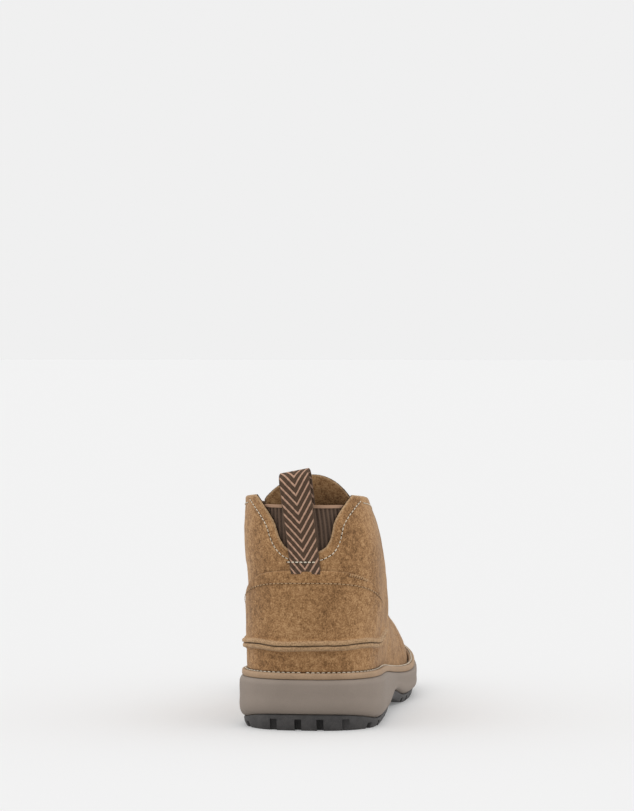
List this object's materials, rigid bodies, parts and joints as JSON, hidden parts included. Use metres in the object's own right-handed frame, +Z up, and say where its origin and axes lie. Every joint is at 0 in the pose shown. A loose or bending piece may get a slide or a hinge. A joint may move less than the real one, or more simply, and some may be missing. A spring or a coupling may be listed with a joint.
{
  "type": "chukka boot",
  "caption": "Ankle-high suede chukka boot with a V-notched collar behind, an elastic gore, a webbing pull loop and a lugged rubber sole.",
  "frame": {"origin": "middle of the bounding box at the floor that the sole stands on", "axes": "+Y to the toe, +X to the outer (lateral) side of this right boot, +Z up"},
  "size_m": [0.1058, 0.302, 0.1505],
  "materials": {
    "outsole_rubber": "matte",
    "midsole_foam": "matte",
    "welt_leather": "satin",
    "insole_leather": "matte",
    "suede": "matte",
    "gore_elastic": "matte",
    "loop_webbing": "matte",
    "lace_cord": "matte",
    "eyelet_metal": "satin"
  },
  "bodies": {
    "root": {"outsole": "outsole_rubber", "midsole": "midsole_foam", "welt": "welt_leather", "insole": "insole_leather", "upper": "suede", "tongue": "suede", "heel_panel": "suede", "heel_foxing": "suede", "eyestay_lateral": "suede", "eyestay_medial": "suede", "rear_gore": "gore_elastic", "pull_loop": "loop_webbing", "lace": "lace_cord", "eyelet_lateral_1": "eyelet_metal", "eyelet_lateral_2": "eyelet_metal", "eyelet_lateral_3": "eyelet_metal", "eyelet_medial_1": "eyelet_metal", "eyelet_medial_2": "eyelet_metal", "eyelet_medial_3": "eyelet_metal"}
  },
  "joints": []
}
